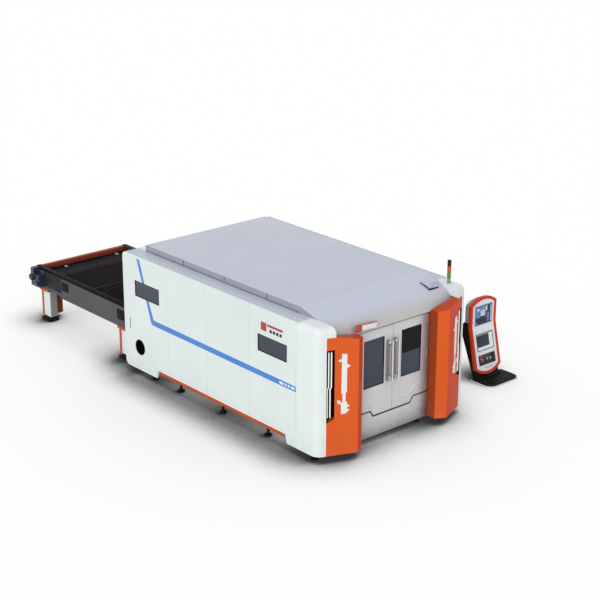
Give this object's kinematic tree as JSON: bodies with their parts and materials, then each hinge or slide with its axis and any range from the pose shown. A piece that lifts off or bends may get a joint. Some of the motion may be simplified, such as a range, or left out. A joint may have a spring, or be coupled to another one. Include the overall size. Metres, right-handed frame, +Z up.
{
  "type": "fiber laser cutting machine",
  "caption": "Closed sheet-cutting cell with hinged front doors, a gantry with a cutting head, a two-level exchange table at the rear and a free-standing operator console",
  "frame": {"origin": "on the floor under the middle of the whole machine's bounding box, console and table included", "axes": "+Y runs from the operator's front to the end of the exchange table, +X points to the operator's right as they face the doors, towards the console, +Z up"},
  "size_m": [4.718, 8.05, 2.451],
  "materials": {
    "white_enamel": "satin",
    "roof_enamel": "satin",
    "orange_enamel": "satin",
    "silver_enamel": "satin",
    "dark_grey_enamel": "satin",
    "black_enamel": "satin",
    "slate_glass": "gloss",
    "bright_steel": "brushed",
    "slat_steel": "raw",
    "dark_steel": "oiled",
    "motor_enamel": "satin",
    "aluminium": "satin",
    "rubber": "matte",
    "console_grey": "satin",
    "pale_panel": "satin",
    "screen_glass": "gloss",
    "keypad_plastic": "matte",
    "green_plastic": "gloss",
    "amber_plastic": "gloss",
    "red_plastic": "gloss",
    "tower_plastic": "matte",
    "light_plastic": "gloss"
  },
  "bodies": {
    "machine": {"bed_frame": "orange_enamel", "buffers": "rubber", "chains": "dark_steel", "console_deck": "black_enamel", "console_fascia": "pale_panel", "console_frame": "orange_enamel", "console_keypad": "keypad_plastic", "console_plinth": "pale_panel", "console_post": "black_enamel", "console_screens": "screen_glass", "console_shell": "console_grey", "door_frame": "dark_grey_enamel", "duct_collar": "bright_steel", "floor_feet": "black_enamel", "front_caps": "white_enamel", "front_columns": "orange_enamel", "front_hood": "roof_enamel", "gantry_rails": "bright_steel", "gear_motor": "motor_enamel", "kick_panel": "silver_enamel", "leg_covers": "white_enamel", "light_bars": "light_plastic", "pallet_rails": "dark_grey_enamel", "rear_portal": "white_enamel", "roof_cowl": "roof_enamel", "roof_panel": "roof_enamel", "shaft_bearings": "dark_steel", "side_panels": "white_enamel", "side_windows": "slate_glass", "table_beams": "dark_grey_enamel", "table_crossbeams": "dark_grey_enamel", "table_legs": "orange_enamel", "tower_amber_lamp": "amber_plastic", "tower_base": "tower_plastic", "tower_green_lamp": "green_plastic", "tower_red_lamp": "red_plastic"},
    "door_left": {"door_left": "silver_enamel", "door_left_glass": "slate_glass", "door_left_handle": "bright_steel"},
    "door_right": {"door_right": "silver_enamel", "door_right_glass": "slate_glass", "door_right_handle": "bright_steel"},
    "gantry": {"gantry_beam": "orange_enamel", "gantry_motors": "black_enamel"},
    "carriage": {"carriage": "aluminium"},
    "head": {"head_slide": "aluminium", "cutting_head": "bright_steel"},
    "upper_pallet": {"upper_pallet": "dark_grey_enamel", "upper_slats": "slat_steel"},
    "lower_pallet": {"lower_pallet": "dark_grey_enamel", "lower_slats": "slat_steel"},
    "drive_shaft": {"drive_shaft": "dark_steel"},
    "idler_shaft": {"idler_shaft": "dark_steel"},
    "upper_front_wheels": {"upper_front_wheels": "bright_steel"},
    "upper_rear_wheels": {"upper_rear_wheels": "bright_steel"},
    "lower_front_wheels": {"lower_front_wheels": "bright_steel"},
    "lower_rear_wheels": {"lower_rear_wheels": "bright_steel"},
    "start_button": {"start_button": "green_plastic"},
    "halt_button": {"halt_button": "tower_plastic"},
    "emergency_stop": {"emergency_stop": "red_plastic"}
  },
  "joints": [
    {"name": "door_left_hinge", "type": "hinge", "parent": "machine", "child": "door_left", "pos_m": [-1.574, -3.75, 1.18], "axis": [0, 0, -1], "range_deg": [0, 90]},
    {"name": "door_right_hinge", "type": "hinge", "parent": "machine", "child": "door_right", "pos_m": [-0.124, -3.75, 1.18], "axis": [0, 0, 1], "range_deg": [0, 90]},
    {"name": "gantry_travel", "type": "slide", "parent": "machine", "child": "gantry", "axis": [0, 1, 0], "range_m": [-0.35, 3]},
    {"name": "carriage_travel", "type": "slide", "parent": "gantry", "child": "carriage", "axis": [1, 0, 0], "range_m": [-0.42, 1.37]},
    {"name": "head_travel", "type": "slide", "parent": "carriage", "child": "head", "axis": [0, 0, -1], "range_m": [0, 0.085]},
    {"name": "upper_pallet_travel", "type": "slide", "parent": "machine", "child": "upper_pallet", "axis": [0, -1, 0], "range_m": [0, 3.5]},
    {"name": "lower_pallet_travel", "type": "slide", "parent": "machine", "child": "lower_pallet", "axis": [0, 1, 0], "range_m": [0, 3.5]},
    {"name": "drive_shaft_turn", "type": "hinge", "parent": "machine", "child": "drive_shaft", "pos_m": [-1.189, 3.895, 0.731], "axis": [1, 0, 0], "continuous": true},
    {"name": "idler_shaft_turn", "type": "hinge", "parent": "machine", "child": "idler_shaft", "pos_m": [-1.189, -2.845, 0.731], "axis": [1, 0, 0], "continuous": true},
    {"name": "upper_front_wheels_roll", "type": "hinge", "parent": "upper_pallet", "child": "upper_front_wheels", "pos_m": [-1.189, 1.235, 0.8423], "axis": [1, 0, 0], "continuous": true},
    {"name": "upper_rear_wheels_roll", "type": "hinge", "parent": "upper_pallet", "child": "upper_rear_wheels", "pos_m": [-1.189, 3.595, 0.8423], "axis": [1, 0, 0], "continuous": true},
    {"name": "lower_front_wheels_roll", "type": "hinge", "parent": "lower_pallet", "child": "lower_front_wheels", "pos_m": [-1.189, -2.265, 0.6923], "axis": [1, 0, 0], "continuous": true},
    {"name": "lower_rear_wheels_roll", "type": "hinge", "parent": "lower_pallet", "child": "lower_rear_wheels", "pos_m": [-1.189, 0.095, 0.6923], "axis": [1, 0, 0], "continuous": true},
    {"name": "start_button_press", "type": "slide", "parent": "machine", "child": "start_button", "axis": [0, 0.9766, -0.2151], "range_m": [0, 0.004], "stiffness_N_per_m": 300, "springref_m": -0.002},
    {"name": "halt_button_press", "type": "slide", "parent": "machine", "child": "halt_button", "axis": [0, 0.9766, -0.2151], "range_m": [0, 0.004], "stiffness_N_per_m": 300, "springref_m": -0.002},
    {"name": "emergency_stop_press", "type": "slide", "parent": "machine", "child": "emergency_stop", "axis": [0, 0.9766, -0.2151], "range_m": [0, 0.004], "stiffness_N_per_m": 300, "springref_m": -0.002}
  ],
  "couplings": [
    {"joint": "lower_pallet_travel", "follows": "upper_pallet_travel", "ratio": 1},
    {"joint": "drive_shaft_turn", "follows": "upper_pallet_travel", "rad_per_m": 10.493},
    {"joint": "idler_shaft_turn", "follows": "upper_pallet_travel", "rad_per_m": 10.493},
    {"joint": "upper_front_wheels_roll", "follows": "upper_pallet_travel", "rad_per_m": 33.333},
    {"joint": "upper_rear_wheels_roll", "follows": "upper_pallet_travel", "rad_per_m": 33.333},
    {"joint": "lower_front_wheels_roll", "follows": "upper_pallet_travel", "rad_per_m": -33.333},
    {"joint": "lower_rear_wheels_roll", "follows": "upper_pallet_travel", "rad_per_m": -33.333}
  ]
}
